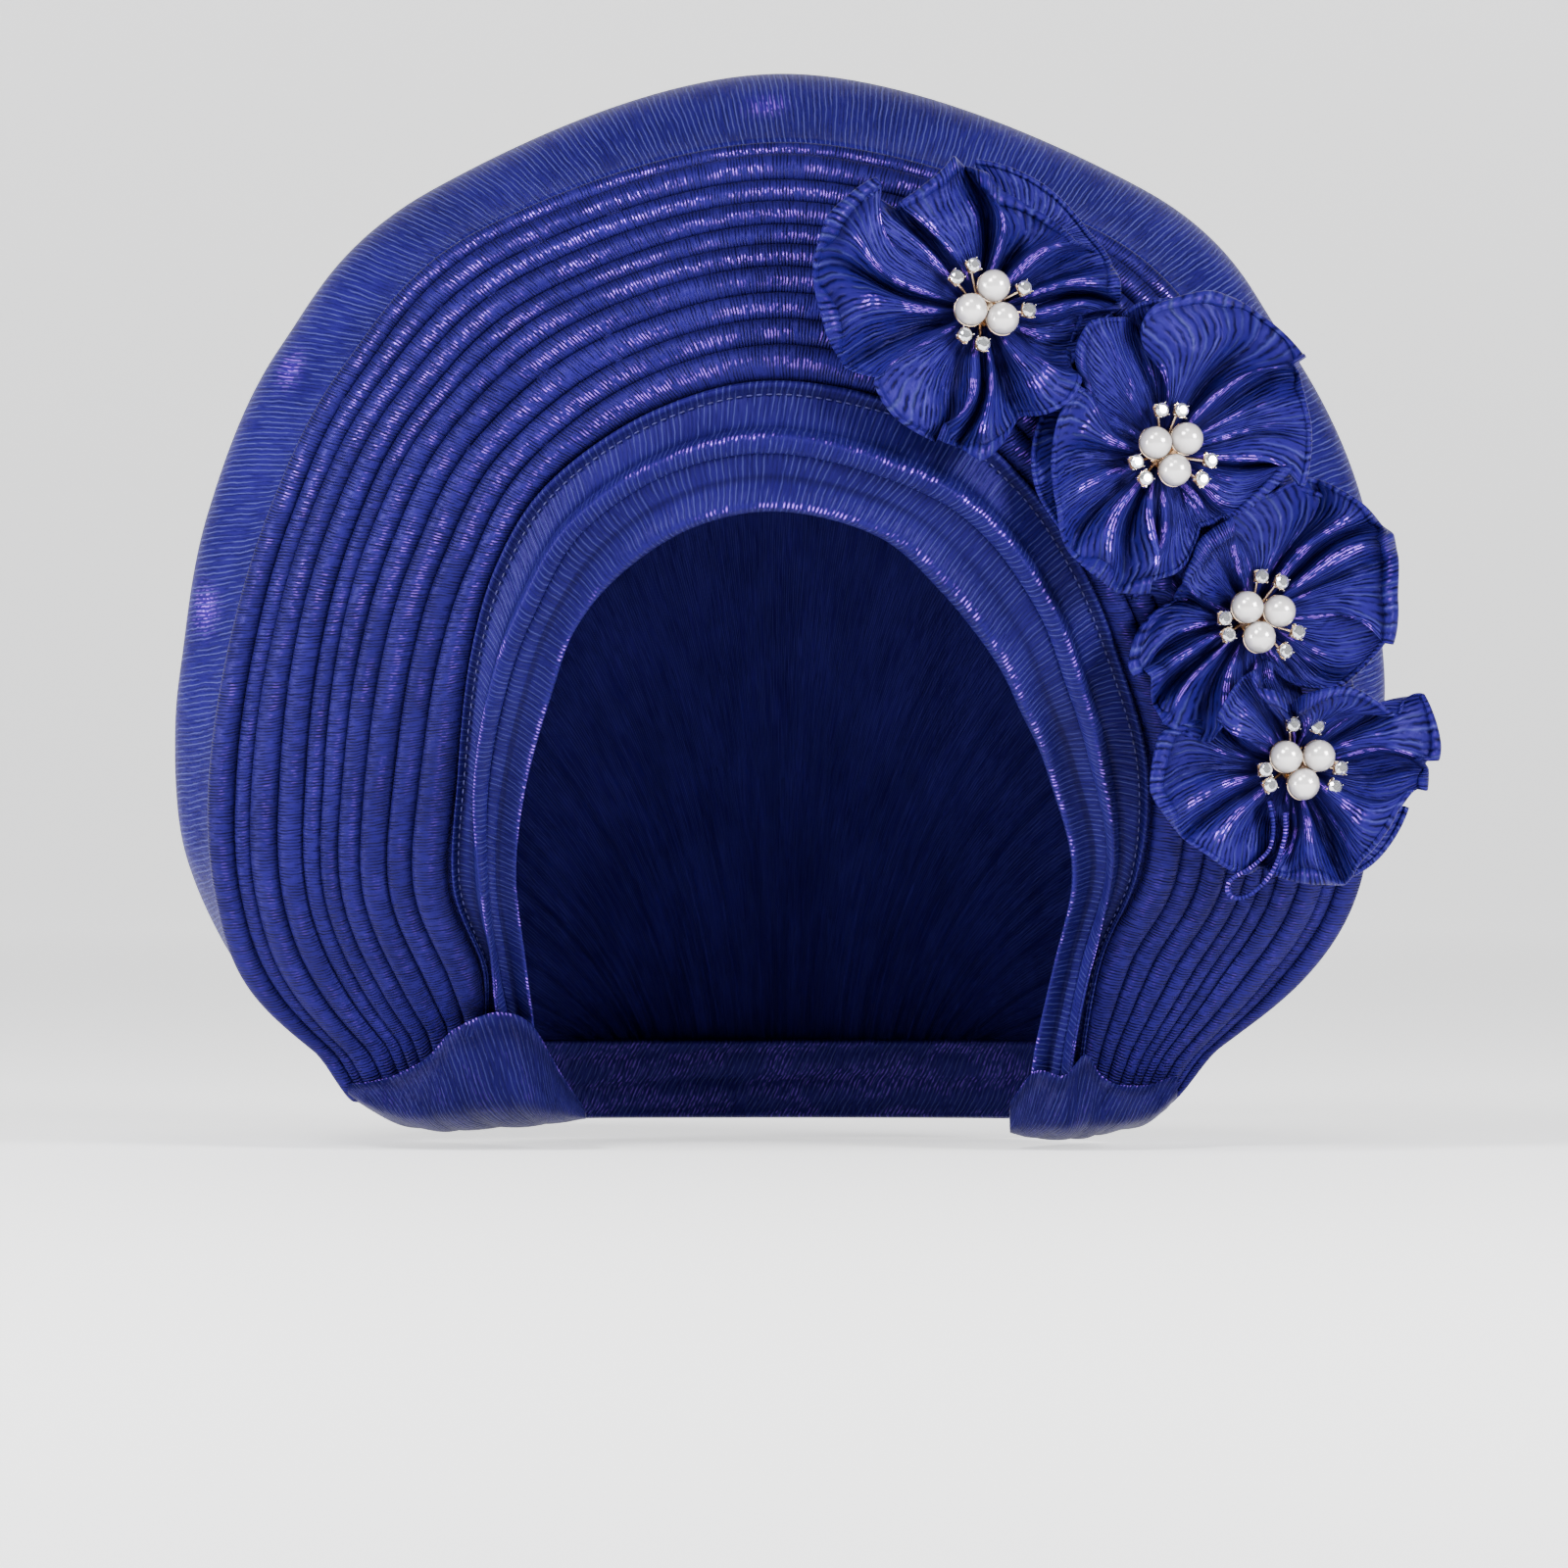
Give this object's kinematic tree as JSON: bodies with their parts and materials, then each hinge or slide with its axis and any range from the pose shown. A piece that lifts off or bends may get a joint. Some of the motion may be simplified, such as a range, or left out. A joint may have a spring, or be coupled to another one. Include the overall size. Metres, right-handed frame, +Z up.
{
  "type": "tied gele head tie",
  "caption": "Ready-tied gele head tie in royal blue shiny crinkle cloth, with a pleated fan, wound knots and jewelled rosettes.",
  "frame": {"origin": "the crown seat: where the top of the head meets the inside of the wrap", "axes": "+Z up along the head, -Y out of the face opening, +X towards the side with the rosettes"},
  "size_m": [0.3135, 0.2012, 0.267],
  "materials": {
    "blue_cloth": "shiny royal blue crinkle cloth with fine ribs",
    "pearl": "glossy ivory white imitation pearl",
    "crystal": "clear faceted crystal",
    "gold_metal": "polished pale gold plate"
  },
  "bodies": {
    "root": {"face_roll": "blue_cloth", "brow_band": "blue_cloth", "pleated_fan": "blue_cloth", "crown_panel": "blue_cloth", "left_wrap": "blue_cloth", "right_wrap": "blue_cloth", "nape_band": "blue_cloth", "rosette_1": "blue_cloth", "rosette_2": "blue_cloth", "rosette_3": "blue_cloth", "rosette_4": "blue_cloth", "rosette_4_tail": "blue_cloth", "brooch_mount_1": "gold_metal", "brooch_mount_2": "gold_metal", "brooch_mount_3": "gold_metal", "brooch_mount_4": "gold_metal", "pearl_1_1": "pearl", "pearl_1_2": "pearl", "pearl_1_3": "pearl", "pearl_2_1": "pearl", "pearl_2_2": "pearl", "pearl_2_3": "pearl", "pearl_3_1": "pearl", "pearl_3_2": "pearl", "pearl_3_3": "pearl", "pearl_4_1": "pearl", "pearl_4_2": "pearl", "pearl_4_3": "pearl", "crystal_1_1": "crystal", "crystal_1_2": "crystal", "crystal_1_3": "crystal", "crystal_1_4": "crystal", "crystal_1_5": "crystal", "crystal_1_6": "crystal", "crystal_2_1": "crystal", "crystal_2_2": "crystal", "crystal_2_3": "crystal", "crystal_2_4": "crystal", "crystal_2_5": "crystal", "crystal_2_6": "crystal", "crystal_3_1": "crystal", "crystal_3_2": "crystal", "crystal_3_3": "crystal", "crystal_3_4": "crystal", "crystal_3_5": "crystal", "crystal_3_6": "crystal", "crystal_4_1": "crystal", "crystal_4_2": "crystal", "crystal_4_3": "crystal", "crystal_4_4": "crystal", "crystal_4_5": "crystal", "crystal_4_6": "crystal"}
  },
  "joints": []
}
